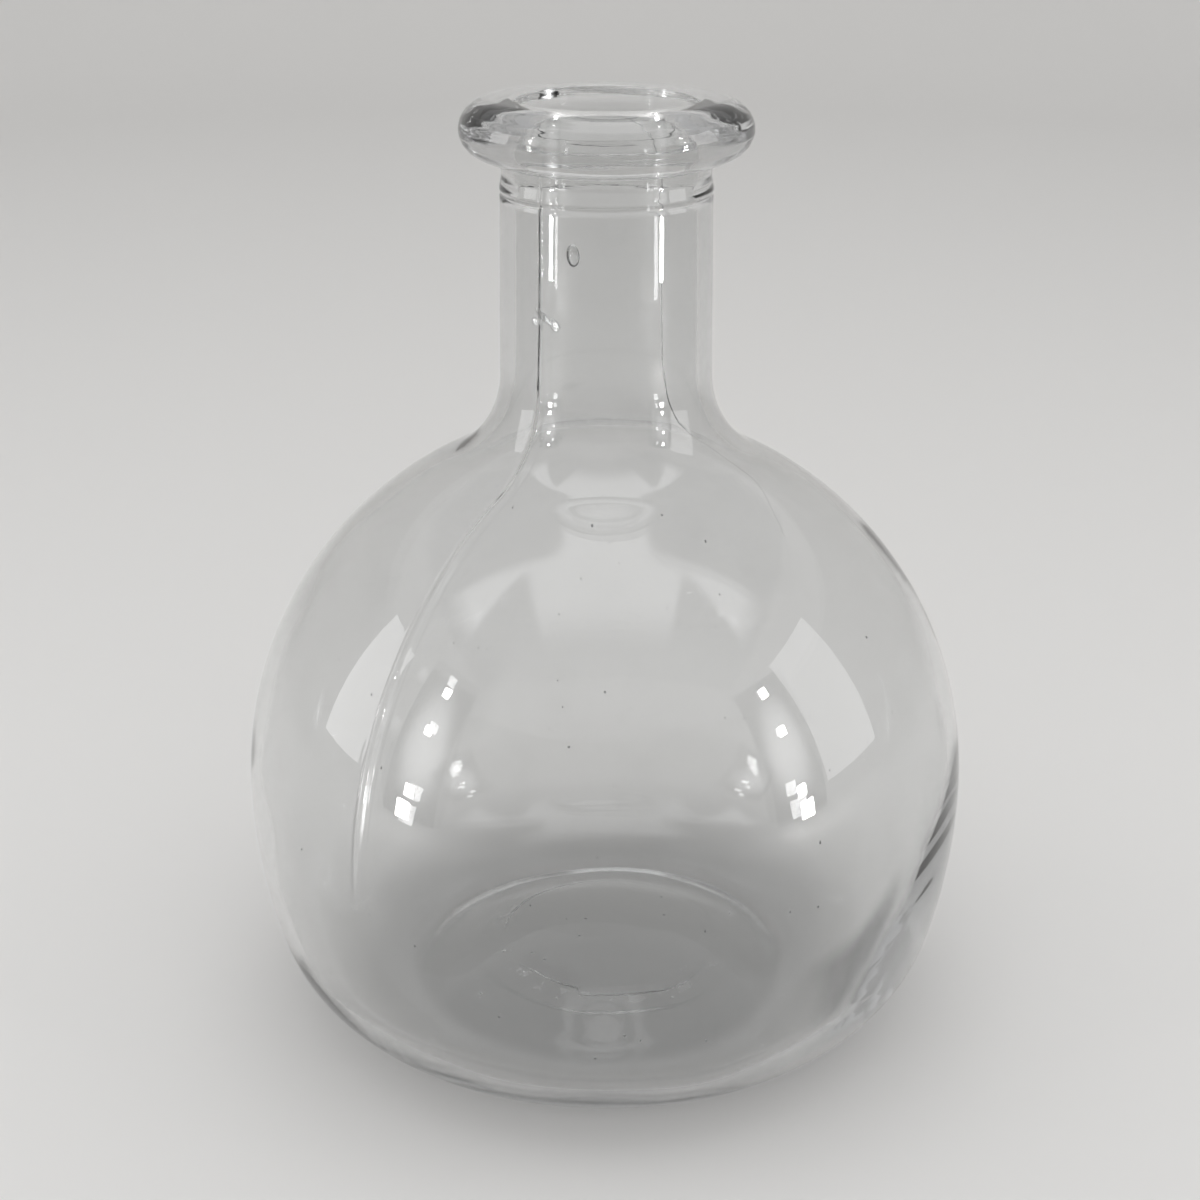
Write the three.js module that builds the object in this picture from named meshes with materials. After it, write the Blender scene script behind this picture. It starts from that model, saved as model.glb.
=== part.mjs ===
// A clear glass globe vase: a body blown in a two-part mould, a heavy ring lip laid on the end of
// its neck, and the ragged ring of glass that the pontil left under the pushed-up base.
// Millimetres, +Z up. The origin is on the vase's axis, at the level of its resting ring.

import * as THREE from "three";
import { mergeGeometries, mergeVertices } from "three/addons/utils/BufferGeometryUtils.js";

// Globe
const globeRadius = 75; // widest radius
const equatorHeight = 51.6; // height of the widest circle above the resting ring
const upperCurve = 76; // radius of the wall's curve above the equator
const lowerCurve = 120; // radius of the wall's curve below it
const heelCurve = 28.6; // radius that turns the wall under, towards the resting ring
const globeWall = 2.4; // thickness of the glass at the equator

// Neck
const neckRootRadius = 21.1; // outside, where the shoulder runs into the neck
const neckEndRadius = 20.6; // outside, at the neck's end
const neckEndHeight = 172.8;
const neckWall = 3.1;
const shoulderCurve = 20; // radius of the hollow curve between globe and neck

// Base
const restingWidth = 3; // width of the flat ring that the vase stands on
const puntHeight = 7.2; // rise of the pushed-up base at its middle
const puntLipCurve = 10; // radius between the resting ring and the push-up
const baseThickness = 5; // glass at the middle of the base
const heelFloor = 3; // height of the lowest inside circle above the resting ring
const heelInnerCurve = 26; // radius that turns the wall under, on the inside

// Mould seams
const seamWidth = 0.9;
const seamHeight = 0.35;
const seamAzimuth = 231; // degrees round from +X to the seam that shows at the front left
const halfMouldSteps = 29; // facets round each half of the mould

// Lip
const lipRadius = 28.55; // outside of the ring
const lipThickness = 11.6; // height of the ring
const lipOverhang = 6.8; // from the ring's outside in to the middle of its section
const collarRadius = 20.7; // outside of the short collar under the ring
const collarWaist = 0.35; // how far the collar's side is drawn in
const collarHeight = 6.8; // from the collar's foot to the underside of the ring
const collarStep = 0.5; // small rounded edge at the collar's foot
const mouthRounding = 1.1; // radius at the inner edge of the mouth
const lapHeight = 4; // height of the slanting lap between the neck's end and the lip
const lapGap = 0.3; // clearance across the lap

// Pontil scar
const scarRadius = 25.6;
const scarWidth = 4.4;
const scarDepth = 1.1; // how far it stands out of the base
const scarOffsetX = 1.4; // the pontil sat this far off the axis
const scarOffsetY = 2.6;
const scarGap = 0.3; // clearance to the base
const scarRaggedness = 0.3; // share by which its width and depth wander
const scarSteps = 54;

const seamHalfAngle = seamWidth / 2 / globeRadius;
const seamAngle = THREE.MathUtils.degToRad(seamAzimuth);
const vector = (radius, height) => new THREE.Vector2(radius, height);

// Points along an arc, from one angle to another, with the ends included.
function arc(centre, radius, from, to, steps) {
  return Array.from({ length: steps + 1 }, (_, i) => {
    const angle = from + ((to - from) * i) / steps;
    return vector(centre.x + radius * Math.cos(angle), centre.y + radius * Math.sin(angle));
  });
}

// Direction, in radians, from one point to another.
function direction(from, to) {
  return Math.atan2(to.y - from.y, to.x - from.x);
}

// Circle of a heel: it rests on the given floor and touches the lower wall's curve from within.
function heelCircle(wallCentre, wallRadius, radius, floor) {
  const height = floor + radius;
  const rise = wallCentre.y - height;
  const reach = Math.sqrt((wallRadius - radius) ** 2 - rise ** 2);
  return vector(wallCentre.x + reach, height);
}

// Circle of a shoulder: it touches the neck's side and the outside of the upper wall's curve.
function shoulderCircle(wallCentre, wallRadius, radius, neckRadius) {
  const reach = neckRadius + radius - wallCentre.x;
  const rise = Math.sqrt((wallRadius + radius) ** 2 - reach ** 2);
  return vector(neckRadius + radius, wallCentre.y + rise);
}

// Radius of the dome that rises to a height in the middle and runs smoothly into an edge curve
// whose lowest point lies at edgeRadius.
function domeRadius(edgeRadius, edgeCurve, rise) {
  return (edgeRadius ** 2 + rise ** 2 - 2 * edgeCurve * rise) / (2 * rise);
}

const upperCentre = vector(globeRadius - upperCurve, equatorHeight);
const lowerCentre = vector(globeRadius - lowerCurve, equatorHeight);
const heelCentre = heelCircle(lowerCentre, lowerCurve, heelCurve, 0);
const restingOuter = heelCentre.x;
const restingInner = restingOuter - restingWidth;
const puntDome = domeRadius(restingInner, puntLipCurve, puntHeight);

// Height of the base's underside at a distance from the axis, out as far as its dome reaches.
function undersideHeight(radius) {
  return puntHeight - puntDome + Math.sqrt(puntDome ** 2 - radius ** 2);
}

// Underside: dome, rounded edge, then the flat resting ring.
function underside() {
  const domeCentre = vector(0, puntHeight - puntDome);
  const lipCentre = vector(restingInner, puntLipCurve);
  const turn = direction(domeCentre, lipCentre);
  return [
    ...arc(domeCentre, puntDome, Math.PI / 2, turn, 4),
    ...arc(lipCentre, puntLipCurve, turn - Math.PI, -Math.PI / 2, 2).slice(1),
  ];
}

// Outer wall: heel, globe and shoulder, up to the neck's end.
function outerWall() {
  const shoulder = shoulderCircle(upperCentre, upperCurve, shoulderCurve, neckRootRadius);
  const heelEnd = direction(lowerCentre, heelCentre);
  const wallEnd = direction(upperCentre, shoulder);
  return [
    ...arc(heelCentre, heelCurve, -Math.PI / 2, heelEnd, 6),
    ...arc(lowerCentre, lowerCurve, heelEnd, 0, 3).slice(1),
    ...arc(upperCentre, upperCurve, 0, wallEnd, 10).slice(1),
    ...arc(shoulder, shoulderCurve, wallEnd + Math.PI, Math.PI, 4).slice(1),
    vector(neckEndRadius, neckEndHeight),
  ];
}

// Inner wall: from the neck's end down the bore and the globe to the middle of the floor.
function innerWall() {
  const upperInner = upperCurve - globeWall;
  const lowerInner = lowerCurve - globeWall;
  const boreRoot = neckRootRadius - neckWall;
  const shoulderInner = shoulderCurve + neckWall;
  const shoulder = shoulderCircle(upperCentre, upperInner, shoulderInner, boreRoot);
  const heel = heelCircle(lowerCentre, lowerInner, heelInnerCurve, heelFloor);
  const floorRise = puntHeight + baseThickness - heelFloor;
  const floorDome = domeRadius(heel.x, heelInnerCurve, floorRise);
  const domeCentre = vector(0, puntHeight + baseThickness - floorDome);
  const wallEnd = direction(upperCentre, shoulder);
  const heelEnd = direction(lowerCentre, heel);
  const domeEnd = direction(domeCentre, heel);
  return [
    vector(neckEndRadius - neckWall, neckEndHeight + lapHeight),
    ...arc(shoulder, shoulderInner, Math.PI, wallEnd + Math.PI, 4),
    ...arc(upperCentre, upperInner, wallEnd, 0, 10).slice(1),
    ...arc(lowerCentre, lowerInner, 0, heelEnd, 3).slice(1),
    ...arc(heel, heelInnerCurve, heelEnd, domeEnd - Math.PI, 5).slice(1),
    ...arc(domeCentre, floorDome, domeEnd, Math.PI / 2, 4).slice(1),
  ];
}

// The narrow strip of a turned profile that lies on a parting line of the mould, centred on an
// angle. Its middle stands out by the seam's height at the points that onSeam picks.
function seamStrip(points, angle, onSeam) {
  const strip = new THREE.LatheGeometry(points, 2, angle - seamHalfAngle, 2 * seamHalfAngle);
  const position = strip.getAttribute("position");
  points.forEach((point, i) => {
    if (!onSeam(i)) return;
    const along = points[i + 1].clone().sub(points[i - 1]).normalize();
    const radius = point.x + along.y * seamHeight;
    const height = point.y - along.x * seamHeight;
    position.setXYZ(points.length + i, radius * Math.sin(angle), height, radius * Math.cos(angle));
  });
  return strip;
}

// A profile turned about +Z as it leaves the mould: two halves, joined by the two seam strips.
function turnInMould(points, onSeam = () => false) {
  const halfTurn = Math.PI - 2 * seamHalfAngle;
  const sweeps = [0, Math.PI].flatMap((angle) => [
    seamStrip(points, angle, onSeam),
    new THREE.LatheGeometry(points, halfMouldSteps, angle + seamHalfAngle, halfTurn),
  ]);
  return solid(mergeGeometries(sweeps))
    .rotateX(Math.PI / 2)
    .rotateZ(seamAngle + Math.PI / 2);
}

// A geometry with only its positions, its shared vertices merged and its normals made anew.
function solid(geometry) {
  geometry.deleteAttribute("normal");
  geometry.deleteAttribute("uv");
  const merged = mergeVertices(geometry, 1e-3);
  merged.computeVertexNormals();
  return merged;
}

function glass(name, color, roughness) {
  return new THREE.MeshStandardMaterial({
    name,
    color,
    roughness,
    metalness: 0,
    transparent: true,
    opacity: 0.35,
  });
}

// The gather that was blown in the mould: globe, neck and pushed-up base in one skin of glass.
function blownBody() {
  const under = underside();
  const outer = outerWall();
  const profile = [...under, ...outer, ...innerWall()];
  const seamStart = under.length + 2;
  const seamEnd = under.length + outer.length - 1;
  const geometry = turnInMould(profile, (i) => i >= seamStart && i < seamEnd);
  const mesh = new THREE.Mesh(geometry, glass("body_glass", 0xdfe3e2, 0.03));
  mesh.name = "blown_body";
  return mesh;
}

// The ring and collar of glass laid on the neck's end and shaped with the lipping tool.
function lipFinish() {
  const boreRadius = neckEndRadius - neckWall;
  const lapSlant = Math.hypot(neckWall, lapHeight);
  const lapLift = (lapGap * lapSlant) / neckWall;
  const collarFoot = neckEndHeight + lapLift;
  const ringHalf = lipThickness / 2;
  const ringCentre = vector(lipRadius - lipOverhang, neckEndHeight + collarHeight + ringHalf);
  const collarMeets = Math.acos((collarRadius - ringCentre.x) / lipOverhang);
  const ring = arc(vector(0, 0), 1, -collarMeets, Math.PI / 2, 12).map((p) =>
    vector(ringCentre.x + lipOverhang * p.x, ringCentre.y + ringHalf * p.y),
  );
  const mouthEdge = vector(boreRadius + mouthRounding, ringCentre.y + ringHalf - mouthRounding);
  const profile = [
    vector(neckEndRadius, collarFoot),
    vector(collarRadius, collarFoot + collarStep),
    vector(collarRadius - collarWaist, collarFoot + (ring[0].y - collarFoot) / 2),
    ...ring,
    ...arc(mouthEdge, mouthRounding, Math.PI / 2, Math.PI, 3),
    vector(boreRadius, collarFoot + lapHeight),
  ];
  profile.push(profile[0]);
  const mesh = new THREE.Mesh(turnInMould(profile), glass("lip_glass", 0xe2e2e6, 0.05));
  mesh.name = "lip_finish";
  return mesh;
}

// The ring that stayed behind when the pontil was cracked off: a flattened bead that follows the
// base's underside, with its width and depth wandering round it.
function pontilScar() {
  const bead = new THREE.TorusGeometry(scarRadius, 1, 8, scarSteps);
  const position = bead.getAttribute("position");
  for (let i = 0; i < position.count; i++) {
    const x = position.getX(i);
    const y = position.getY(i);
    const around = Math.atan2(y, x);
    const wander = 0.6 * Math.sin(3 * around + 0.7) + 0.4 * Math.sin(8 * around + 2.1);
    const share = 1 + scarRaggedness * wander;
    const radius = scarRadius + ((Math.hypot(x, y) - scarRadius) * share * scarWidth) / 2;
    const placedX = scarOffsetX + radius * Math.cos(around);
    const placedY = scarOffsetY + radius * Math.sin(around);
    const seat = undersideHeight(Math.hypot(placedX, placedY)) - scarGap;
    const below = Math.max(0, -position.getZ(i)) * share * scarDepth;
    position.setXYZ(i, placedX, placedY, seat - below);
  }
  const mesh = new THREE.Mesh(solid(bead), glass("scar_glass", 0xe8e4e4, 0.25));
  mesh.name = "pontil_scar";
  return mesh;
}

const vase = new THREE.Group();
vase.add(blownBody(), lipFinish(), pontilScar());

export default vase;
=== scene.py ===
"""Dresses the globe vase in one skin of clear glass, and builds the studio it stands in."""

import math

import bmesh
import bpy
from mathutils import Matrix, Vector, noise


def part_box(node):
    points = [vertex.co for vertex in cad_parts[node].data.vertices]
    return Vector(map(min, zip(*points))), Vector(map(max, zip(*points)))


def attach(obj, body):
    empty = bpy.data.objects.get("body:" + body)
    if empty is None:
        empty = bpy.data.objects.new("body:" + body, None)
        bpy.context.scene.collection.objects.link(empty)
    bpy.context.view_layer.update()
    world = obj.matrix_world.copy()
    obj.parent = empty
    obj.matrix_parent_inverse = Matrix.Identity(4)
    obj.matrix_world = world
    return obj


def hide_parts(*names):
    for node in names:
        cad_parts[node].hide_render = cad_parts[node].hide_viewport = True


bl_info = {
    "name": "Globe vase",
    "version": (1, 0, 0),
    "blender": (4, 5, 0),
    "location": "3D View > Sidebar > Globe vase",
    "description": "Builds a mould-blown clear glass globe vase and a plain studio round it",
    "category": "Object",
}

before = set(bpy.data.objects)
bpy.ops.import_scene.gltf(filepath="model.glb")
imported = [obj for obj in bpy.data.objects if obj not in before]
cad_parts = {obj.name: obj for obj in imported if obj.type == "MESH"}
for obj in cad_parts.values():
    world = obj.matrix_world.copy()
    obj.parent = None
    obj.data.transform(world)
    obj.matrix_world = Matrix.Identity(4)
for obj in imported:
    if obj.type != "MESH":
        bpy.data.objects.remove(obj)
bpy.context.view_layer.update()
LIP_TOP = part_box("lip_finish")[1].z

MM = 0.001
UNDER, OUTSIDE, COLLAR, RING, BORE, INSIDE = range(6)
# The base's mesh is fine between these radii, where the pontil left its ring.
SCAR_BAND = (18.7 * MM, 27.6 * MM)
# Half the angle of the fine strip along a seam, and the steps round a strip and between two.
SEAM_STRIP = 2.6 * MM / 0.075
STRIP_STEPS, PANEL_STEPS = 16, 78

# The floor's radius, the radius of the curve up to its wall, and the wall's top, in metres.
FLOOR_RADIUS, FLOOR_CURVE, WALL_TOP = 1.3, 0.5, 1.1
# Half width and half depth of the lit cloths, in metres, and the height of the ceiling's.
CEILING = (1.3, 1.3)
CEILING_HEIGHT = 1.33
VEIL = (0.2, 0.42)
# The soft boxes: azimuth and elevation in degrees with the distance in metres, width and
# height in metres, and share of the windows' brightness.
WINDOWS = (
    ("window_left", (181, 17, 1), (0.3, 0.56), 1),
    ("window_right", (-9, 19, 1), (0.4, 0.62), 0.8),
)
# A veil hangs on each side at an azimuth, with small lamps before it at these elevations and
# distances; both are squares or ovals turned to the vase.
SIDES = (("left", -150), ("right", -30))
VEIL_ELEVATION, VEIL_DISTANCE = 15, 1.2
LAMPS = ((31, 1.1), (20, 1.1), (3, 0.9), (-2.5, 0.62))
LAMP_SIZE = (0.05, 0.05)
# The camera's film and lens in mm, its place, and how far it is pitched up and rolled.
FILM, LENS = 36, 60.82
CAMERA_PLACE = (-1.12 * MM, -391.1 * MM, 245.9 * MM)
CAMERA_PITCH, CAMERA_ROLL = math.radians(90 - 21.9187), math.radians(0.0873)
BOUNCES = 32

# The bruise's thin cracks, which lie in the neck's wall: azimuth and height, turn about the
# vertical, lean back and tilt across the wall in degrees, depth, and half the thickness, width
# and height in mm. The small ones are turned so that they glint.
BRUISE = (
    (-129.2, 153.7, 6.1, 10.7, 60, 0.6, (0.014, 0.45, 0.75)),
    (-126.4, 152.9, 4.3, 10.8, 62, 0.6, (0.016, 0.65, 1.1)),
    (-123.6, 152.4, 2.8, 10.9, 58, 0.6, (0.014, 0.5, 0.8)),
    (-121.2, 151.9, 1.2, 10.9, 20, 0.6, (0.014, 0.45, 0.6)),
    (-118.3, 151.3, -0.6, 11, 40, 0.6, (0.018, 0.95, 1.2)),
    (-131.3, 151.6, 7.4, 10.9, 80, 0.6, (0.016, 0.75, 0.9)),
    (-123.0, 152.2, 2.0, 4, 66, 1.0, (0.05, 0.8, 2.9)),
    (-126.5, 151.4, -2.0, 3, -10, 1.0, (0.04, 0.4, 1.6)),
)
# Seeds in the base: x and y in mm. Seeds in the wall: azimuth in degrees, height in mm.
BASE_SEEDS = (
    (-3.9, 2.7),
    (-5.4, -4.0),
    (-16.1, -9.4),
    (-13.4, -11.9),
    (12.5, 14.6),
    (12.7, 5.4),
    (29.4, 6.3),
    (-22.2, -8.2),
    (-10.0, -26.7),
    (14.2, -26.3),
)
WALL_SEEDS = (
    (-118.5, 45.4),
    (-58.0, 52.6),
    (-91.5, 24.9),
    (-105.7, 33.3),
    (-87.2, 30.7),
    (-108.2, 38.1),
    (-74.8, 27.6),
    (-71.9, 118.2),
    (-90.2, 94.9),
    (-95.8, 86.4),
    (-35.1, 94.7),
    (-141.9, 55.0),
)


# Settings


def length_setting(name, description, millimetres):
    """A setting for a size, with its default in millimetres."""
    return bpy.props.FloatProperty(
        name=name,
        description=description,
        default=millimetres * MM,
        unit="LENGTH",
        precision=5,
    )


def angle_setting(name, description, degrees):
    """A setting for an angle, with its default in degrees."""
    return bpy.props.FloatProperty(
        name=name,
        description=description,
        default=math.radians(degrees),
        subtype="ANGLE",
    )


def colour_setting(name, description, default):
    """A setting for a colour."""
    return bpy.props.FloatVectorProperty(
        name=name,
        description=description,
        default=default,
        size=3,
        subtype="COLOR",
        min=0,
        max=1,
    )


def share_setting(name, description, default):
    """A setting from 0 to 1."""
    return bpy.props.FloatProperty(
        name=name,
        description=description,
        default=default,
        min=0,
        max=1,
        subtype="FACTOR",
    )


def strength_setting(name, description, default):
    """A setting for how bright or how strong something is."""
    return bpy.props.FloatProperty(
        name=name, description=description, default=default, min=0
    )


class VaseBody(bpy.types.PropertyGroup):
    """Sizes of the blown body."""

    globe_radius: length_setting("Globe radius", "Widest radius of the globe", 74.93)
    equator_height: length_setting(
        "Equator height", "Height of the widest circle above the resting ring", 51.6
    )
    upper_curve: length_setting(
        "Upper curve", "Radius of the wall's curve above the equator", 76
    )
    lower_curve: length_setting(
        "Lower curve", "Radius of the wall's curve below the equator", 120
    )
    heel_curve: length_setting(
        "Heel curve", "Radius that turns the wall under, towards the resting ring", 28.6
    )
    globe_wall: length_setting("Globe wall", "Thickness of the glass at the equator", 2.4)
    neck_root_radius: length_setting(
        "Neck root radius", "Outside radius where the shoulder runs into the neck", 21.1
    )
    neck_end_radius: length_setting("Neck end radius", "Outside radius at the neck's end", 20.6)
    neck_end_height: length_setting(
        "Neck end height", "Height of the neck's end, where the lip was laid on", 172.8
    )
    neck_wall: length_setting("Neck wall", "Thickness of the glass in the neck", 3.1)
    shoulder_curve: length_setting(
        "Shoulder curve", "Radius of the hollow curve between globe and neck", 20
    )
    resting_width: length_setting(
        "Resting width", "Width of the ring that the vase stands on", 0.8
    )
    punt_height: length_setting("Punt height", "Rise of the pushed-up base at its middle", 7.2)
    punt_lip_curve: length_setting(
        "Punt edge curve", "Radius between the resting ring and the push-up", 10
    )
    base_thickness: length_setting("Base thickness", "Glass at the middle of the base", 5)
    heel_floor: length_setting(
        "Heel floor", "Height of the lowest inside circle above the resting ring", 3
    )
    heel_inner_curve: length_setting(
        "Heel inner curve", "Radius that turns the wall under, on the inside", 26
    )
    heavy_glass: length_setting(
        "Heavy glass", "How much thicker the wall is on the side where the glass sagged", 2.6
    )
    heavy_azimuth: angle_setting(
        "Heavy side", "Angle round from +X to the side where the glass sagged", -12
    )
    heavy_height: length_setting("Heavy height", "Height of the middle of the heavy glass", 20)
    heavy_spread: angle_setting(
        "Heavy spread", "How far round the axis the heavy glass reaches from its middle", 37
    )
    heavy_rise: length_setting(
        "Heavy rise", "How far up and down the heavy glass reaches from its middle", 26
    )
    ripple: length_setting(
        "Ripple", "How far the blown walls wander from a true turned shape", 0.35
    )


class VaseLip(bpy.types.PropertyGroup):
    """Sizes of the ring and collar laid on the neck's end."""

    ring_radius: length_setting("Ring radius", "Outside radius of the ring", 28.45)
    ring_thickness: length_setting("Ring thickness", "Height of the ring", 11.6)
    ring_overhang: length_setting(
        "Ring overhang", "From the ring's outside in to the middle of its section", 6.8
    )
    collar_radius: length_setting(
        "Collar radius", "Outside radius of the short collar under the ring", 20.7
    )
    collar_waist: length_setting("Collar waist", "How far the collar's side is drawn in", 0.45)
    collar_groove: length_setting(
        "Collar groove", "Depth of the crease where the collar's foot meets the neck", 0.22
    )
    mouth_rounding: length_setting(
        "Mouth rounding", "Radius at the inner edge of the mouth", 1.3
    )
    tooling: length_setting("Tooling", "Depth of the rings that the lipping tool left", 0.09)


class VaseMarks(bpy.types.PropertyGroup):
    """Mould seams, pontil scar and the flaws in the glass."""

    seam_azimuth: angle_setting(
        "Seam azimuth", "Angle round from +X to the seam at the front left", 231
    )
    seam_lean: angle_setting(
        "Seam lean", "How far the seams turn round the neck from where they are on the globe", 2
    )
    seam_width: length_setting(
        "Seam width", "Width of the ridge that the mould's parting line left", 0.9
    )
    seam_height: length_setting("Seam height", "How far the seams stand out", 0.35)
    scar_radius: length_setting(
        "Scar radius", "Radius of the broken inner edge of the ring that the pontil left", 23.4
    )
    scar_width: length_setting(
        "Scar width", "From the ring's broken edge out to where it runs into the base", 4.2
    )
    scar_depth: length_setting(
        "Scar depth", "How far the pontil's ring stands out of the base", 0.6
    )
    scar_offset: bpy.props.FloatVectorProperty(
        name="Scar offset",
        description="How far the pontil sat off the axis",
        default=(1.4 * MM, 2.6 * MM),
        size=2,
        subtype="XYZ",
        unit="LENGTH",
        precision=5,
    )


class GlassFinish(bpy.types.PropertyGroup):
    """Colour and surface of the glass."""

    # Painted shadow: the glass over the base is darkened towards this colour to stand in for
    # the shade on the floor under the vase; the neck and lip take part of it.
    painted_base_shade: colour_setting(
        "Base tint",
        "Colour of the glass where it is thickest, in the base",
        (0.78, 0.785, 0.785),
    )
    tint: colour_setting("Tint", "Colour of the glass at its surface", (0.92, 0.923, 0.922))
    # Painted shade: a dark crescent low on the right, over the glass that sagged, stands in for
    # dark surroundings seen through it.
    painted_crescent_shade: colour_setting(
        "Heavy tint", "Colour of the glass where it sagged to one side", (0.28, 0.284, 0.288)
    )
    depth_colour: colour_setting(
        "Depth colour", "Colour that thick glass tends to", (0.55, 0.558, 0.57)
    )
    depth_density: strength_setting(
        "Depth density", "How fast thick glass takes up its colour, per metre", 12
    )
    index: bpy.props.FloatProperty(
        name="Refractive index",
        description="How strongly the glass bends light",
        default=1.5,
        min=1,
        max=2,
    )
    polish: share_setting("Polish", "Roughness of the clean, fire-polished glass", 0.012)
    frost: share_setting("Frost", "Roughness of the broken glass of the pontil scar", 0.42)


class StudioStage(bpy.types.PropertyGroup):
    """Floor, lights and camera."""

    floor_colour: colour_setting(
        "Floor colour", "Colour of the floor and of the low wall round it", (0.8, 0.795, 0.785)
    )
    sky: strength_setting("Sky", "Strength of the even light from all round", 0.75)
    window: strength_setting(
        "Windows", "Brightness of the soft boxes at the left and right", 2.9
    )
    ceiling: strength_setting("Ceiling", "Brightness of the lit cloth overhead", 1.9)
    veil: strength_setting("Veils", "Brightness of the lit cloths behind the small lamps", 2.4)
    sparkle: strength_setting("Sparkle", "Brightness of the small lamps", 60)


# Profile


def arc(centre, radius, start, end, spacing, skin):
    """Points (radius, height, skin) along an arc, about a spacing apart, with both ends."""
    steps = max(2, round(abs(end - start) * radius / spacing))
    angles = [start + (end - start) * i / steps for i in range(steps + 1)]
    return [
        (centre[0] + radius * math.cos(a), centre[1] + radius * math.sin(a), skin)
        for a in angles
    ]


def line(start, end, spacing, skin):
    """Points along a straight line, with both ends."""
    steps = max(1, round(math.dist(start, end) / spacing))
    return [
        (
            start[0] + (end[0] - start[0]) * i / steps,
            start[1] + (end[1] - start[1]) * i / steps,
            skin,
        )
        for i in range(steps + 1)
    ]


def direction(start, end):
    """Angle of the way from one point to another."""
    return math.atan2(end[1] - start[1], end[0] - start[0])


def heel_circle(wall_centre, wall_radius, radius, floor):
    """Centre of a heel that rests on a floor and touches the lower wall's curve from within."""
    height = floor + radius
    rise = wall_centre[1] - height
    return wall_centre[0] + math.sqrt((wall_radius - radius) ** 2 - rise**2), height


def shoulder_circle(wall_centre, wall_radius, radius, neck_radius):
    """Centre of a shoulder that touches the neck's side and the upper wall's curve."""
    reach = neck_radius + radius - wall_centre[0]
    rise = math.sqrt((wall_radius + radius) ** 2 - reach**2)
    return neck_radius + radius, wall_centre[1] + rise


def dome_radius(edge_radius, edge_curve, rise):
    """Radius of the dome that rises to a height and runs smoothly into its edge curve."""
    return (edge_radius**2 + rise**2 - 2 * edge_curve * rise) / (2 * rise)


def underside(body):
    """Push-up under the base, its rounded edge and the resting ring."""
    heel = heel_circle(
        (body.globe_radius - body.lower_curve, body.equator_height),
        body.lower_curve,
        body.heel_curve,
        0,
    )
    inner = heel[0] - body.resting_width
    dome = dome_radius(inner, body.punt_lip_curve, body.punt_height)
    dome_centre = (0, body.punt_height - dome)
    edge = (inner, body.punt_lip_curve)
    turn = direction(dome_centre, edge)
    before, after = (math.acos(radius / dome) for radius in SCAR_BAND)
    return [
        *arc(dome_centre, dome, math.pi / 2, before, 1.6 * MM, UNDER),
        *arc(dome_centre, dome, before, after, 0.28 * MM, UNDER),
        *arc(dome_centre, dome, after, turn, 1 * MM, UNDER),
        *arc(edge, body.punt_lip_curve, turn - math.pi, -math.pi / 2, 0.9 * MM, UNDER),
        *line((inner, 0), (heel[0], 0), 1 * MM, UNDER),
    ]


def outer_wall(body):
    """Heel, globe, shoulder and neck, up to the collar's foot."""
    upper = (body.globe_radius - body.upper_curve, body.equator_height)
    lower = (body.globe_radius - body.lower_curve, body.equator_height)
    heel = heel_circle(lower, body.lower_curve, body.heel_curve, 0)
    shoulder = shoulder_circle(
        upper, body.upper_curve, body.shoulder_curve, body.neck_root_radius
    )
    heel_end = direction(lower, heel)
    wall_end = direction(upper, shoulder)
    root = (body.neck_root_radius, shoulder[1])
    end = (body.neck_end_radius, body.neck_end_height)
    return [
        *arc(heel, body.heel_curve, -math.pi / 2, heel_end, 1.4 * MM, OUTSIDE),
        *arc(lower, body.lower_curve, heel_end, 0, 1.8 * MM, OUTSIDE),
        *arc(upper, body.upper_curve, 0, wall_end, 1.8 * MM, OUTSIDE),
        *arc(
            shoulder,
            body.shoulder_curve,
            wall_end + math.pi,
            math.pi,
            1.2 * MM,
            OUTSIDE,
        ),
        *line(root, end, 0.95 * MM, OUTSIDE),
    ]


def lip(body, sizes):
    """Crease, collar, ring and mouth, and down the bore to the neck's end."""
    bore = body.neck_end_radius - body.neck_wall
    foot = body.neck_end_height
    half = sizes.ring_thickness / 2
    ring = (sizes.ring_radius - sizes.ring_overhang, LIP_TOP - half)
    meets = math.acos((sizes.collar_radius - ring[0]) / sizes.ring_overhang)
    under_ring = ring[1] - half * math.sin(meets)
    crease = body.neck_end_radius - sizes.collar_groove
    waist = sizes.collar_radius - sizes.collar_waist
    middle = (foot + 1.1 * MM + under_ring) / 2
    collar = [
        (crease + 0.12 * MM, foot + 0.12 * MM, COLLAR),
        (crease, foot + 0.35 * MM, COLLAR),
        (crease + 0.1 * MM, foot + 0.6 * MM, COLLAR),
        (sizes.collar_radius - 0.25 * MM, foot + 0.85 * MM, COLLAR),
        (sizes.collar_radius, foot + 1.15 * MM, COLLAR),
        *line(
            (sizes.collar_radius, foot + 1.5 * MM), (waist, middle), 0.5 * MM, COLLAR
        ),
        *line(
            (waist, middle),
            (sizes.collar_radius - 0.2 * MM, under_ring - 0.5 * MM),
            0.5 * MM,
            COLLAR,
        ),
    ]
    steps = 52
    swell = [
        (
            ring[0] + sizes.ring_overhang * math.cos(a),
            ring[1] + half * math.sin(a),
            RING,
        )
        for a in (
            -meets + (math.pi / 2 + meets) * (i + 1) / (steps + 1)
            for i in range(steps + 1)
        )
    ]
    rounding = sizes.mouth_rounding
    edge = (bore + rounding, LIP_TOP - rounding)
    mouth = arc(edge, rounding, math.pi / 2, math.pi, 0.3 * MM, RING)
    down = line((bore, edge[1]), (bore, foot), 0.9 * MM, BORE)
    return [*collar, *swell, *mouth, *down]


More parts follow.
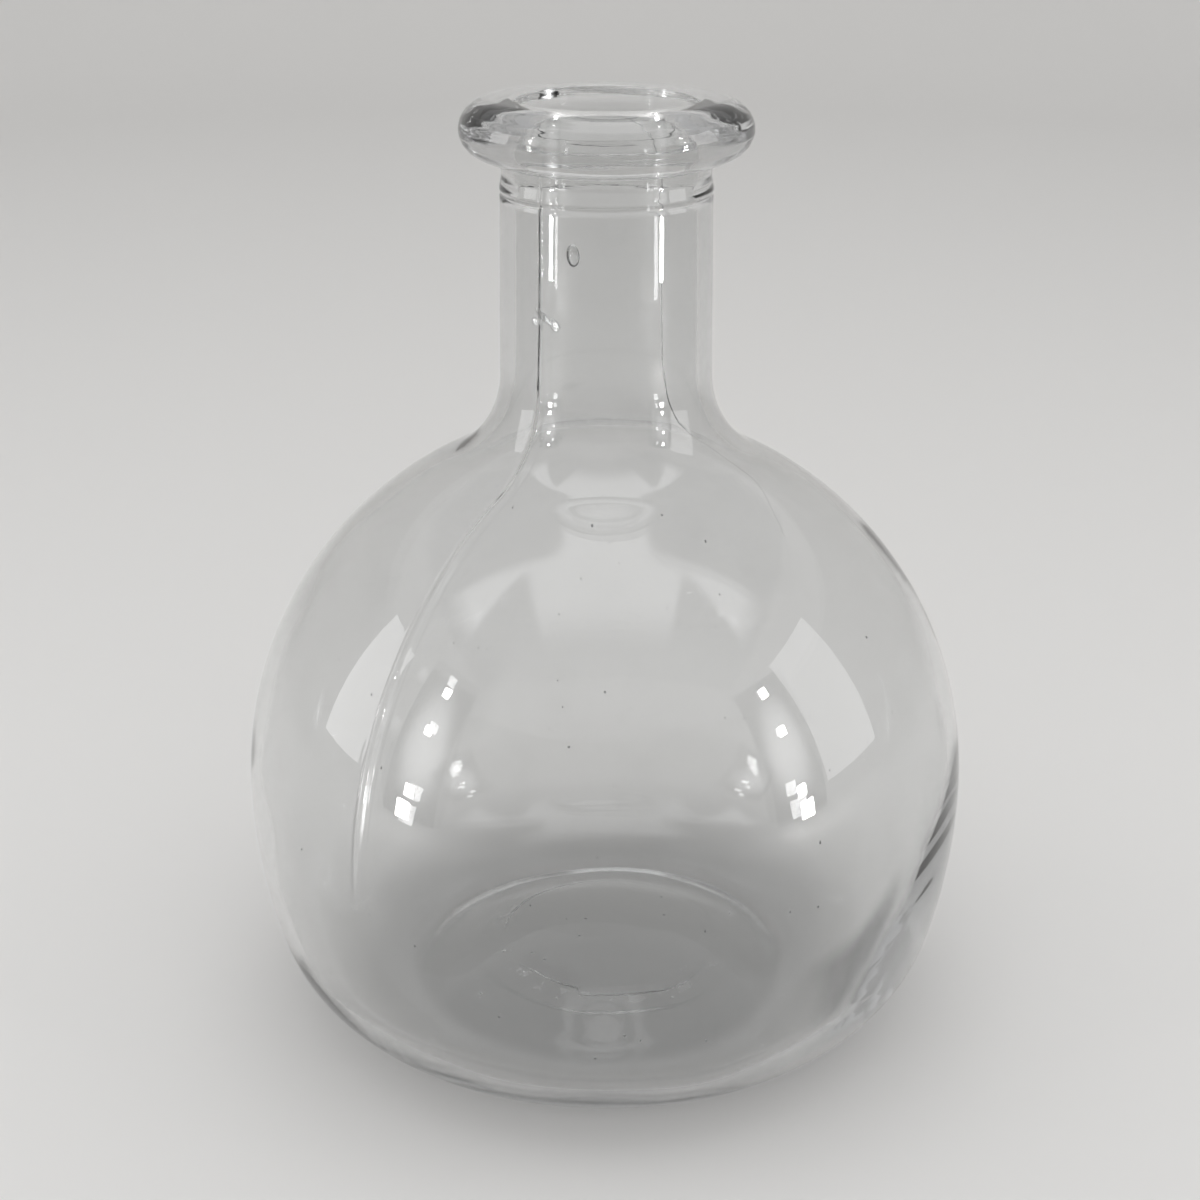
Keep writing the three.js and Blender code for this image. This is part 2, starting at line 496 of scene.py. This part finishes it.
def inner_wall(body):
    """From the neck's bore down the inside to the middle of the floor."""
    upper = (body.globe_radius - body.upper_curve, body.equator_height)
    lower = (body.globe_radius - body.lower_curve, body.equator_height)
    upper_inner = body.upper_curve - body.globe_wall
    lower_inner = body.lower_curve - body.globe_wall
    bore = body.neck_root_radius - body.neck_wall
    curve = body.shoulder_curve + body.neck_wall
    shoulder = shoulder_circle(upper, upper_inner, curve, bore)
    heel = heel_circle(lower, lower_inner, body.heel_inner_curve, body.heel_floor)
    rise = body.punt_height + body.base_thickness - body.heel_floor
    dome = dome_radius(heel[0], body.heel_inner_curve, rise)
    dome_centre = (0, body.punt_height + body.base_thickness - dome)
    wall_end = direction(upper, shoulder)
    heel_end = direction(lower, heel)
    dome_end = direction(dome_centre, heel)
    end = (body.neck_end_radius - body.neck_wall, body.neck_end_height)
    return [
        *line(end, (bore, shoulder[1]), 1.2 * MM, BORE),
        *arc(shoulder, curve, math.pi, wall_end + math.pi, 1.5 * MM, INSIDE),
        *arc(upper, upper_inner, wall_end, 0, 2.2 * MM, INSIDE),
        *arc(lower, lower_inner, 0, heel_end, 2.2 * MM, INSIDE),
        *arc(
            heel,
            body.heel_inner_curve,
            heel_end,
            dome_end - math.pi,
            1.6 * MM,
            INSIDE,
        ),
        *arc(dome_centre, dome, dome_end, math.pi / 2, 1.6 * MM, INSIDE),
    ]


def whole_profile(body, sizes):
    """The closed section of the glass, without points that fall on each other."""
    points = [
        *underside(body),
        *outer_wall(body),
        *lip(body, sizes),
        *inner_wall(body),
    ]
    kept = [points[0]]
    for point in points[1:]:
        if math.dist(point[:2], kept[-1][:2]) > 0.05 * MM:
            kept.append(point)
    return kept


# Glass mesh


def turn_in_mould(bm, profile, marks):
    """Spins the section about the axis in two mould halves, with fine strips on the seams."""
    skin = bm.verts.layers.int.new("skin")
    start = marks.seam_azimuth - SEAM_STRIP
    verts = []
    for radius, height, kind in profile:
        co = (radius * math.cos(start), radius * math.sin(start), height)
        vert = bm.verts.new(co)
        vert[skin] = kind
        verts.append(vert)
    geom = verts + [bm.edges.new(pair) for pair in zip(verts, verts[1:])]
    strip = 2 * SEAM_STRIP
    for angle, steps in ((strip, STRIP_STEPS), (math.pi - strip, PANEL_STEPS)):
        spun = bmesh.ops.spin(
            bm,
            geom=geom,
            cent=(0, 0, 0),
            axis=(0, 0, 1),
            dvec=(0, 0, 0),
            angle=angle,
            steps=steps,
            use_merge=False,
            use_duplicate=False,
        )
        geom = spun["geom_last"]
    half = bm.verts[:] + bm.edges[:] + bm.faces[:]
    other = bmesh.ops.duplicate(bm, geom=half)["geom"]
    bmesh.ops.rotate(
        bm,
        verts=[v for v in other if isinstance(v, bmesh.types.BMVert)],
        cent=(0, 0, 0),
        matrix=Matrix.Rotation(math.pi, 3, "Z"),
    )
    bmesh.ops.remove_doubles(bm, verts=bm.verts[:], dist=0.01 * MM)
    refine_round(bm, skin, UNDER, SCAR_BAND)
    for vert in bm.verts:
        vert.co.rotate(Matrix.Rotation(seam_turn(marks, vert.co.z), 3, "Z"))
    bmesh.ops.recalc_face_normals(bm, faces=bm.faces[:])
    bm.normal_update()
    return skin


def refine_round(bm, skin, kind, band):
    """Halves the steps round the axis where a skin of the glass needs finer marks, between
    two radii."""
    low, high = band[0] + 0.1 * MM, band[1] - 0.1 * MM
    edges = [
        edge
        for edge in bm.edges
        if all(
            v[skin] == kind and low < math.hypot(v.co.x, v.co.y) < high
            for v in edge.verts
        )
        and abs(edge.verts[0].co.z - edge.verts[1].co.z) < 0.001 * MM
    ]
    made = bmesh.ops.subdivide_edges(bm, edges=edges, cuts=1, use_grid_fill=True)
    for vert in made["geom_inner"]:
        if isinstance(vert, bmesh.types.BMVert):
            vert[skin] = kind
            flat = math.hypot(vert.co.x, vert.co.y)
            ends = [e.other_vert(vert).co for e in vert.link_edges]
            round_ends = [c for c in ends if abs(c.z - vert.co.z) < 0.001 * MM]
            reach = math.hypot(round_ends[0].x, round_ends[0].y) / flat
            vert.co.x *= reach
            vert.co.y *= reach


def smooth_step(low, high, value):
    """0 at low, 1 at high, and smooth between them; low may be the greater."""
    t = min(1, max(0, (value - low) / (high - low)))
    return t * t * (3 - 2 * t)


def bell(distance, width):
    """1 at no distance, falling off smoothly over a width."""
    return math.exp(-((distance / width) ** 2))


def seam_turn(marks, height):
    """How far the seams have turned round the axis at a height."""
    return marks.seam_lean * smooth_step(120 * MM, 160 * MM, height)


def seam_ridge(co, marks):
    """Height of the mould seams at a point of the outside."""
    wander = 0.1 * MM * noise.noise(Vector((0, 0, co.z / (7 * MM))))
    around = math.atan2(co.y, co.x) - marks.seam_azimuth - seam_turn(marks, co.z)
    distance = math.remainder(around, math.pi) * math.hypot(co.x, co.y) + wander
    on_neck = smooth_step(118 * MM, 142 * MM, co.z)
    behind = smooth_step(-20 * MM, 20 * MM, co.y) * (1 - on_neck)
    fade = smooth_step(46 * MM, 74 * MM, co.z) * (1 - 0.8 * behind)
    flow = 1 + 0.4 * noise.noise(Vector((7, 3, co.z / (3 * MM))))
    height = marks.seam_height * fade * flow * (1 + 0.5 * on_neck)
    return height * bell(distance, marks.seam_width * (0.6 - 0.3 * on_neck))


def wall_ripple(co, kind, amount):
    """How far a blown wall wanders at a point: broad swells, most of all inside the globe."""
    layer = 3.1 if kind == OUTSIDE else 15.5
    swell = noise.noise(co / (38 * MM) + Vector((layer, 0, 0)))
    fine = noise.noise(co / (15 * MM) + Vector((0, 2 * layer, 0)))
    if kind == OUTSIDE:
        standing = smooth_step(1 * MM, 14 * MM, co.z)
        return amount * (0.25 * swell + 0.08 * fine) * standing
    calm = 1 - 0.6 * smooth_step(105 * MM, 140 * MM, co.z)
    below_mouth = smooth_step(LIP_TOP - 2 * MM, LIP_TOP - 12 * MM, co.z)
    return amount * (0.9 * swell + 0.35 * fine) * calm * below_mouth


def heavy_side(co, body):
    """How much thicker the glass is at a point of the inside, where it sagged to one side."""
    around = math.remainder(math.atan2(co.y, co.x) - body.heavy_azimuth, 2 * math.pi)
    up = co.z - body.heavy_height
    above_foot = smooth_step(3 * MM, 15 * MM, co.z)
    above_foot *= smooth_step(35 * MM, 55 * MM, math.hypot(co.x, co.y))
    spread = bell(around, body.heavy_spread) * bell(up, body.heavy_rise)
    return body.heavy_glass * spread * above_foot


def scar_relief(co, marks):
    """How far the pontil's ring stands out below the base. At the front a crisp ridge with a
    hook stands on a low smooth band, at the back left the band's inner edge is broken sharply,
    and between them the ring is nearly worn away."""
    x = co.x - marks.scar_offset[0]
    y = co.y - marks.scar_offset[1]
    around = math.atan2(y, x)
    turn = math.degrees(around)
    rim = Vector((math.cos(around), math.sin(around), 0))
    hook = 1.7 * MM * smooth_step(-105, -109, turn) * smooth_step(-160, -135, turn)
    wander = MM * (0.6 * noise.noise(rim * 2) + 0.14 * noise.noise(rim * 7))
    across = math.hypot(x, y) - marks.scar_radius - wander
    if across < -4 * MM or across > marks.scar_width + 2 * MM:
        return 0
    front = bell(turn + 92, 46)
    back = bell(math.remainder(turn - 140, 360), 30)
    rise = smooth_step(-1.8 * MM, -0.1 * MM, across + hook)
    ridge = rise * (1 - smooth_step(0, 0.5 * MM, across + hook))
    end = 1 - smooth_step(marks.scar_width, marks.scar_width + 2 * MM, across)
    broken = smooth_step(-0.35 * MM, 0.3 * MM, across) * end
    ragged = 1 + 0.2 * noise.noise(rim * 5)
    shape = front * (0.6 * ridge + 0.4 * rise * end) + (back + 0.08) * broken
    return marks.scar_depth * shape * ragged


def shape_surface(bm, skin, body, sizes, marks):
    """Moves every vertex to where the blowing, the tools and the pontil left the glass."""
    moves = []
    for vert in bm.verts:
        co = vert.co
        kind = vert[skin]
        out = vert.normal
        move = Vector()
        if kind in (OUTSIDE, COLLAR):
            below = 1 - smooth_step(172 * MM, 174 * MM, co.z)
            move = out * seam_ridge(co, marks) * (0.3 + 0.7 * below)
        if kind in (OUTSIDE, INSIDE, BORE):
            move = move + out * wall_ripple(co, kind, body.ripple)
        if kind == INSIDE:
            move = move + out * heavy_side(co, body)
        if kind == UNDER:
            move = Vector((0, 0, -scar_relief(co, marks)))
        if kind in (COLLAR, RING):
            around = Vector((co.x, co.y, 0)) / (30 * MM)
            height = co.z / (0.9 * MM)
            streak = noise.noise(Vector((around.x, around.y, height)))
            lump = noise.noise(around * 1.7 + Vector((0, 0, co.z / (14 * MM))))
            away = -0.5 * sizes.tooling + sizes.tooling * streak
            if kind == RING:
                away += 0.16 * MM * (lump - 0.6)
            bore = body.neck_end_radius - body.neck_wall
            away *= smooth_step(bore, bore + 2 * MM, math.hypot(co.x, co.y))
            move = move + out * away
        moves.append(move)
    for vert, move in zip(bm.verts, moves):
        vert.co += move


def add_bubble(bm, place, size, tilt=Matrix(), segments=8, rings=6):
    """An air bubble at an azimuth, radius and height, with half its thickness, width and
    height, tilted in the wall."""
    azimuth, radius, height = place
    turned = Matrix.Rotation(azimuth, 4, "Z") @ tilt
    there = (radius * math.cos(azimuth), radius * math.sin(azimuth), height)
    bmesh.ops.create_uvsphere(
        bm,
        u_segments=segments,
        v_segments=rings,
        radius=1,
        matrix=Matrix.Translation(there) @ turned @ Matrix.Diagonal((*size, 1)),
    )


def radius_in_wall(body, height, depth):
    """Radius of a point inside the wall of the globe or neck, a share of the way through it."""
    upper = (body.globe_radius - body.upper_curve, body.equator_height)
    lower = (body.globe_radius - body.lower_curve, body.equator_height)
    centre, curve = (
        (upper, body.upper_curve)
        if height > body.equator_height
        else (lower, body.lower_curve)
    )
    middle = curve - body.globe_wall * depth
    return centre[0] + math.sqrt(middle**2 - (height - centre[1]) ** 2)


def add_flaws(glass, body):
    """The blister and the bruise in the neck, and the small seeds all over the glass."""
    bm = bmesh.new()
    neck = body.neck_end_radius - body.neck_wall / 2
    blister = (math.radians(-108.5), neck, 164.8 * MM)
    blister_size = (0.6 * MM, 1.25 * MM, 2.1 * MM)
    add_bubble(bm, blister, blister_size, Matrix.Rotation(0.06, 4, "X"), 24, 16)
    for azimuth, height, turn, lean, tilt, depth, size in BRUISE:
        radius = body.neck_end_radius - depth * MM
        turned = Matrix()
        for angle, axis in ((turn, "Z"), (-lean, "Y"), (tilt, "X")):
            turned @= Matrix.Rotation(math.radians(angle), 4, axis)
        place = (math.radians(azimuth), radius, height * MM)
        add_bubble(bm, place, [s * MM for s in size], turned, 16, 12)
    for x, y in BASE_SEEDS:
        place = (math.atan2(y, x), math.hypot(x, y) * MM, 9.6 * MM)
        add_bubble(bm, place, (0.34 * MM, 0.28 * MM, 0.2 * MM))
    for azimuth, height in WALL_SEEDS:
        radius = radius_in_wall(body, height * MM, 0.4)
        add_bubble(bm, (math.radians(azimuth), radius, height * MM), [0.24 * MM] * 3)
    noise.seed_set(11)
    for _ in range(60):
        azimuth = 2 * math.pi * noise.random()
        height = (24 + 96 * noise.random()) * MM
        radius = radius_in_wall(body, height, 0.35 + 0.3 * noise.random())
        size = (0.08 + 0.14 * noise.random() ** 2) * MM
        long = 1 + 1.4 * noise.random()
        add_bubble(bm, (azimuth, radius, height), (size, size, size * long))
    bmesh.ops.recalc_face_normals(bm, faces=bm.faces[:])
    bmesh.ops.reverse_faces(bm, faces=bm.faces[:])
    bubbles = bpy.data.meshes.new("bubbles")
    bm.to_mesh(bubbles)
    bm.free()
    glass.from_mesh(bubbles)
    bpy.data.meshes.remove(bubbles)


class VASE_OT_blow_glass(bpy.types.Operator):
    """Builds the vase's glass: body, lip and pontil scar in one skin"""

    bl_idname = "vase.blow_glass"
    bl_label = "Blow the glass"

    def execute(self, context):
        scene = context.scene
        body, sizes, marks = scene.vase_body, scene.vase_lip, scene.vase_marks
        bm = bmesh.new()
        skin = turn_in_mould(bm, whole_profile(body, sizes), marks)
        shape_surface(bm, skin, body, sizes, marks)
        add_flaws(bm, body)
        glass = finish_piece(bm, "vase_glass", clear_glass(scene))
        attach(glass, "root")
        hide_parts("blown_body", "lip_finish", "pontil_scar")
        return {"FINISHED"}


def finish_piece(bm, name, material):
    """Turns a bmesh into a smooth-shaded object at the origin."""
    mesh = bpy.data.meshes.new(name)
    for face in bm.faces:
        face.smooth = True
    bm.to_mesh(mesh)
    bm.free()
    mesh.materials.append(material)
    piece = bpy.data.objects.new(name, mesh)
    bpy.context.scene.collection.objects.link(piece)
    return piece


# Materials


class Shade:
    """A shader socket that can be written in expressions."""

    def __init__(self, tree, socket):
        self.tree = tree
        self.socket = socket

    def node(self, kind, settings=None, inputs=None, output=0):
        """A new node of a kind, with its settings made first and then its sockets filled."""
        made = self.tree.nodes.new("ShaderNode" + kind)
        for key, value in (settings or {}).items():
            setattr(made, key, value)
        for key, value in (inputs or {}).items():
            if isinstance(value, Shade):
                self.tree.links.new(value.socket, made.inputs[key])
            else:
                made.inputs[key].default_value = value
        return Shade(self.tree, made.outputs[output])

    def math(self, operation, *values):
        """A Math node on values, numbers or both."""
        return self.node("Math", {"operation": operation}, dict(enumerate(values)))

    def __add__(self, other):
        return self.math("ADD", self, other)

    __radd__ = __add__

    def __sub__(self, other):
        return self.math("SUBTRACT", self, other)

    def __rsub__(self, other):
        return self.math("SUBTRACT", other, self)

    def __mul__(self, other):
        return self.math("MULTIPLY", self, other)

    __rmul__ = __mul__

    def __truediv__(self, other):
        return self.math("DIVIDE", self, other)

    def __pow__(self, other):
        return self.math("POWER", self, other)

    def step(self, low, high):
        """0 at low and 1 at high, smooth between them; low may be the greater."""
        settings = {"interpolation_type": "SMOOTHSTEP"}
        values = {"Value": self, "From Min": low, "From Max": high}
        return self.node("MapRange", settings, values)

    def largest(self, other):
        return self.math("MAXIMUM", self, other)


def new_material(name):
    """A material with its Principled shader, and a start for expressions."""
    material = bpy.data.materials.new(name)
    material.use_nodes = True
    tree = material.node_tree
    shader = tree.nodes["Principled BSDF"]
    return material, tree, shader, Shade(tree, None)


def clear_glass(scene):
    """Clear, slightly grey glass: fire-polished, with tool rings on the lip, a frosted scar, a
    worn resting ring, dull seams, a scratch round the shoulder, and dust and smudges. Its
    colour holds painted shadow over the base for the shade on the floor under the vase, is
    darker on the neck and lip, and holds a painted dark crescent low on the right, over the
    glass that sagged."""
    finish, marks, body = scene.vase_finish, scene.vase_marks, scene.vase_body
    material, tree, shader, new = new_material("clear_glass")
    place = new.node("TexCoord", output="Object")
    x, y, z = (
        new.node("SeparateXYZ", inputs={"Vector": place}, output=i) for i in range(3)
    )
    off_x, off_y = marks.scar_offset
    scar_x, scar_y = x - off_x, y - off_y
    from_edge = ((scar_x**2.0 + scar_y**2.0) ** 0.5) - marks.scar_radius
    under = z.step(7 * MM, 5.6 * MM)
    patches = new.node("TexNoise", inputs={"Vector": place, "Scale": 260, "Detail": 4})
    broken = from_edge.step(-0.5 * MM, 0.1 * MM) * from_edge.step(
        marks.scar_width, 0.3 * marks.scar_width
    )
    front = (scar_y + 4 * MM).step(8 * MM, -12 * MM)
    back_left = (scar_y - scar_x).step(24 * MM, 31 * MM)
    scar = broken * patches.step(0.42, 0.7) * front.largest(back_left) * under
    along_seam = x * math.sin(marks.seam_azimuth) - y * math.cos(marks.seam_azimuth)
    seam = along_seam.math("ABSOLUTE", along_seam).step(0.65 * MM, 0.3 * MM)
    seam = seam * z.step(48 * MM, 66 * MM) * z.step(128 * MM, 118 * MM) * y.step(0, -MM)
    worn = z.step(1.2 * MM, 0.2 * MM)
    on_lip = z.step(body.neck_end_height, body.neck_end_height + 1.5 * MM)
    smudge = new.node(
        "TexNoise", inputs={"Vector": place, "Scale": 38, "Detail": 5, "Roughness": 0.6}
    ).step(0.5, 0.78)
    dust = new.node(
        "TexNoise", inputs={"Vector": place, "Scale": 900, "Detail": 2}
    ).step(0.7, 0.76)
    long = new.node("Mapping", inputs={"Vector": place, "Scale": (55, 55, 1300)})
    streaks = new.node("TexNoise", inputs={"Vector": long, "Scale": 1, "Detail": 3})
    grain = new.node("TexNoise", inputs={"Vector": place, "Scale": 1500, "Detail": 3})
    rough = finish.polish + smudge * 0.028 + dust * 0.16 + on_lip * 0.012
    rough = rough.largest(scar * finish.frost).largest(worn * 0.3 * grain)
    wander = new.node("TexNoise", inputs={"Vector": place, "Scale": 60, "Detail": 3})
    from_scratch = z - 106.5 * MM + (wander - 0.5) * 3 * MM
    scratch = from_scratch.math("ABSOLUTE", from_scratch).step(0.2 * MM, 0.08 * MM)
    scratch = scratch * patches.step(0.45, 0.52) * y.step(-60 * MM, -64 * MM)
    rough = rough.largest(seam * 0.18).largest(scratch * 0.5)
    drawn = new.node("Mapping", inputs={"Vector": place, "Scale": (300, 300, 6)})
    draws = new.node("TexNoise", inputs={"Vector": drawn, "Scale": 1, "Detail": 2})
    on_neck = z.step(118 * MM, 135 * MM) * z.step(body.neck_end_height, 165 * MM)
    tree.links.new(rough.socket, shader.inputs["Roughness"])
    relief = streaks * on_lip * 0.5 + grain * scar.largest(worn * 0.4)
    relief = relief + draws * on_neck * 0.5
    bump = new.node(
        "Bump", inputs={"Strength": 0.35, "Distance": 0.12 * MM, "Height": relief}
    )
    tree.links.new(bump.socket, shader.inputs["Normal"])
    clean = tuple(finish.tint) + (1,)
    dusty = tuple(0.86 * c for c in finish.tint) + (1,)
    colour = new.node(
        "Mix",
        {"data_type": "RGBA"},
        {0: smudge * 0.3 + dust * 0.7, 6: clean, 7: dusty},
        output=2,
    )
    from_axis = (x**2.0 + y**2.0) ** 0.5
    # Painted shadow: the base, inside the resting ring and below 13 mm, is darkened to stand in
    # for the shade on the floor under the vase, and the neck and lip above 135 mm are darkened
    # by 0.4 of the same colour.
    painted_base_shadow_mask = from_axis.step(43 * MM, 38 * MM) * z.step(15 * MM, 13 * MM)
    # Painted shade: a dark crescent low on the right side, slanting with the wall, stands in
    # for dark surroundings seen through the heavy glass.
    aslant = y + (body.equator_height - z) * 0.4
    painted_crescent_mask = aslant.step(-24 * MM, -10 * MM) * aslant.step(14 * MM, 5 * MM)
    painted_crescent_mask = painted_crescent_mask * x.step(40 * MM, 52 * MM)
    painted_crescent_mask = painted_crescent_mask * z.step(2 * MM, 6 * MM) * z.step(26 * MM, 15 * MM)
    # The painted shadow over the base, and the darker neck and lip.
    thick = painted_base_shadow_mask.largest(z.step(112 * MM, 135 * MM) * 0.4)
    mix = {0: thick, 6: colour, 7: tuple(finish.painted_base_shade) + (1,)}
    colour = new.node("Mix", {"data_type": "RGBA"}, mix, output=2)
    mix = {0: painted_crescent_mask, 6: colour, 7: tuple(finish.painted_crescent_shade) + (1,)}
    colour = new.node("Mix", {"data_type": "RGBA"}, mix, output=2)
    tree.links.new(colour.socket, shader.inputs["Base Color"])
    shader.inputs["IOR"].default_value = finish.index
    shader.inputs["Transmission Weight"].default_value = 1
    output = tree.nodes["Material Output"]
    lamps = new.node("LightPath", output="Is Shadow Ray")
    passed = new.node("BsdfTransparent", inputs={"Color": (0.985, 0.985, 0.985, 1)})
    mixed = new.node(
        "MixShader",
        inputs={0: lamps, 1: Shade(tree, shader.outputs[0]), 2: passed},
    )
    tree.links.new(mixed.socket, output.inputs["Surface"])
    depth = new.node(
        "VolumeAbsorption",
        inputs={
            "Color": (*finish.depth_colour, 1),
            "Density": finish.depth_density,
        },
    )
    tree.links.new(depth.socket, output.inputs["Volume"])
    return material


def floor_paint(scene):
    """Matt pale paint of the floor and of the low wall round it."""
    material, _, shader, _ = new_material("floor_paint")
    shader.inputs["Base Color"].default_value = (*scene.vase_stage.floor_colour, 1)
    shader.inputs["Roughness"].default_value = 0.9
    shader.inputs["Specular IOR Level"].default_value = 0.2
    return material


# Stage


def build_floor(scene):
    """A round floor that curves up into a low wall all round."""
    bm = bmesh.new()
    clearance = 0.06 * MM
    points = [
        (0, -clearance),
        (0.4, -clearance),
        (FLOOR_RADIUS, -clearance),
        *[
            (FLOOR_RADIUS + FLOOR_CURVE * math.sin(a), FLOOR_CURVE - FLOOR_CURVE * math.cos(a))
            for a in (math.radians(d) for d in range(10, 91, 10))
        ],
        (FLOOR_RADIUS + FLOOR_CURVE, WALL_TOP),
    ]
    verts = [bm.verts.new((radius, 0, height)) for radius, height in points]
    geom = verts + [bm.edges.new(pair) for pair in zip(verts, verts[1:])]
    bmesh.ops.spin(
        bm,
        geom=geom,
        cent=(0, 0, 0),
        axis=(0, 0, 1),
        dvec=(0, 0, 0),
        angle=2 * math.pi,
        steps=96,
        use_merge=True,
        use_duplicate=False,
    )
    bmesh.ops.remove_doubles(bm, verts=bm.verts[:], dist=0.1 * MM)
    bmesh.ops.recalc_face_normals(bm, faces=bm.faces[:])
    floor = finish_piece(bm, "studio_floor", floor_paint(scene))


def soft_box(name, matrix, size, brightness):
    """A rectangular lamp of even brightness."""
    data = bpy.data.lights.new(name, "AREA")
    data.shape = "RECTANGLE"
    data.size, data.size_y = size
    data.energy = brightness * math.pi * size[0] * size[1]
    lamp = bpy.data.objects.new(name, data)
    bpy.context.scene.collection.objects.link(lamp)
    lamp.matrix_world = matrix
    lamp.visible_camera = False
    return lamp


def lit_cloth(name, matrix, reach, glow, brightness):
    """A stretched cloth that gives light, as bright over its face as glow(x, y) says."""
    bm = bmesh.new()
    bmesh.ops.create_grid(
        bm,
        x_segments=1,
        y_segments=1,
        size=1,
        matrix=Matrix.Diagonal((*reach, 1, 1)),
    )
    material, tree, shader, new = new_material(name)
    place = new.node("TexCoord", output="Object")
    x, y = (
        new.node("SeparateXYZ", inputs={"Vector": place}, output=i) for i in range(2)
    )
    tree.links.new(glow(x, y).socket, shader.inputs["Emission Color"])
    shader.inputs["Emission Strength"].default_value = brightness
    shader.inputs["Base Color"].default_value = (0, 0, 0, 1)
    shader.inputs["Specular IOR Level"].default_value = 0
    cloth = finish_piece(bm, name, material)
    cloth.matrix_world = matrix
    cloth.visible_camera = False


def ceiling_glow(x, y):
    """Dim all over, with a brighter strip that runs to the back, arms to both sides that slant
    forwards, and between them a tongue that fades towards the camera."""
    side = x.math("ABSOLUTE", x)
    strip = 0.27 - side
    behind_arms = -0.15 - y
    back = strip.math("SMOOTH_MAX", strip, behind_arms, 0.25)
    tongue = 0.5 - side
    before_arms = y + 0.24 + (side - 0.41) * 0.68
    front = tongue.math("SMOOTH_MAX", tongue, before_arms, 0.12)
    edge = back.math("MINIMUM", back, front).step(0, 0.07)
    fan = edge * y.step(-1, -0.5) * y.step(0.5, 0.2) * side.step(1.25, 0.9)
    return 0.28 + 0.72 * fan


def veil_glow(x, y):
    """Brightest in the middle, and fading to nothing at the edge."""
    return ((x / VEIL[0]) ** 2.0 + (y / VEIL[1]) ** 2.0).step(1, 0) ** 1.5


def facing(azimuth, elevation, distance):
    """Where a lamp hangs at an azimuth and elevation, turned to the middle of the vase."""
    aim = Vector((0, 0, 85 * MM))
    flat = math.cos(math.radians(elevation))
    away = Vector(
        (
            flat * math.cos(math.radians(azimuth)),
            flat * math.sin(math.radians(azimuth)),
            math.sin(math.radians(elevation)),
        )
    )
    turned = (-away).to_track_quat("-Z", "Y").to_matrix().to_4x4()
    return Matrix.Translation(aim + away * distance) @ turned


def build_lights(scene):
    """Soft boxes at the left and right, lit cloths overhead and behind the small lamps."""
    stage = scene.vase_stage
    for name, place, size, part in WINDOWS:
        lamp = soft_box(name, facing(*place), size, part * stage.window)
        lamp.visible_transmission = lamp.visible_diffuse = False
    overhead = Matrix.Translation((0, 0.2, CEILING_HEIGHT))
    lit_cloth("ceiling_cloth", overhead, CEILING, ceiling_glow, stage.ceiling)
    for side, azimuth in SIDES:
        behind = facing(azimuth, VEIL_ELEVATION, VEIL_DISTANCE)
        lit_cloth(f"veil_{side}", behind, VEIL, veil_glow, stage.veil)
        for elevation, distance in LAMPS:
            place = facing(azimuth, elevation, distance)
            soft_box(f"lamp_{side}_{elevation}", place, LAMP_SIZE, stage.sparkle)
    world = bpy.data.worlds.new("studio_air")
    scene.world = world
    world.use_nodes = True
    background = world.node_tree.nodes["Background"]
    background.inputs["Color"].default_value = (1, 0.99, 0.98, 1)
    background.inputs["Strength"].default_value = stage.sky


def build_camera(scene):
    """The camera at the viewing angle of the picture, for a square frame."""
    data = bpy.data.cameras.new("viewpoint")
    data.sensor_width = FILM
    data.lens = LENS
    camera = bpy.data.objects.new("viewpoint", data)
    scene.collection.objects.link(camera)
    camera.matrix_world = (
        Matrix.Translation(CAMERA_PLACE)
        @ Matrix.Rotation(CAMERA_PITCH, 4, "X")
        @ Matrix.Rotation(CAMERA_ROLL, 4, "Z")
    )
    scene.camera = camera


class VASE_OT_set_stage(bpy.types.Operator):
    """Builds the floor, the lights and the camera"""

    bl_idname = "vase.set_stage"
    bl_label = "Set the stage"

    def execute(self, context):
        scene = context.scene
        build_floor(scene)
        build_lights(scene)
        build_camera(scene)
        scene.view_settings.view_transform = "Standard"
        for bounces in ("max_bounces", "transmission_bounces", "glossy_bounces"):
            setattr(scene.cycles, bounces, BOUNCES)
        scene.cycles.caustics_refractive = False
        scene.cycles.caustics_reflective = False
        return {"FINISHED"}


# Panel


class VASE_PT_sidebar(bpy.types.Panel):
    """Lists the vase's settings and the buttons that build it"""

    bl_idname = "VASE_PT_sidebar"
    bl_label = "Globe vase"
    bl_space_type = "VIEW_3D"
    bl_region_type = "UI"
    bl_category = "Globe vase"

    def draw(self, context):
        layout = self.layout
        for key, group in GROUPS.items():
            box = layout.box()
            box.label(text=group.__doc__)
            for name in group.__annotations__:
                box.prop(getattr(context.scene, key), name)
        for operator in OPERATORS:
            layout.operator(operator.bl_idname)


GROUPS = {
    "vase_body": VaseBody,
    "vase_lip": VaseLip,
    "vase_marks": VaseMarks,
    "vase_finish": GlassFinish,
    "vase_stage": StudioStage,
}
OPERATORS = (VASE_OT_blow_glass, VASE_OT_set_stage)


def register():
    for cls in (*GROUPS.values(), *OPERATORS, VASE_PT_sidebar):
        bpy.utils.register_class(cls)
    for key, group in GROUPS.items():
        pointer = bpy.props.PointerProperty(type=group)
        setattr(bpy.types.Scene, key, pointer)


def unregister():
    for key in GROUPS:
        delattr(bpy.types.Scene, key)
    for cls in reversed((*GROUPS.values(), *OPERATORS, VASE_PT_sidebar)):
        bpy.utils.unregister_class(cls)


def main():
    register()
    bpy.ops.vase.blow_glass()
    bpy.ops.vase.set_stage()


if __name__ == "__main__":
    main()
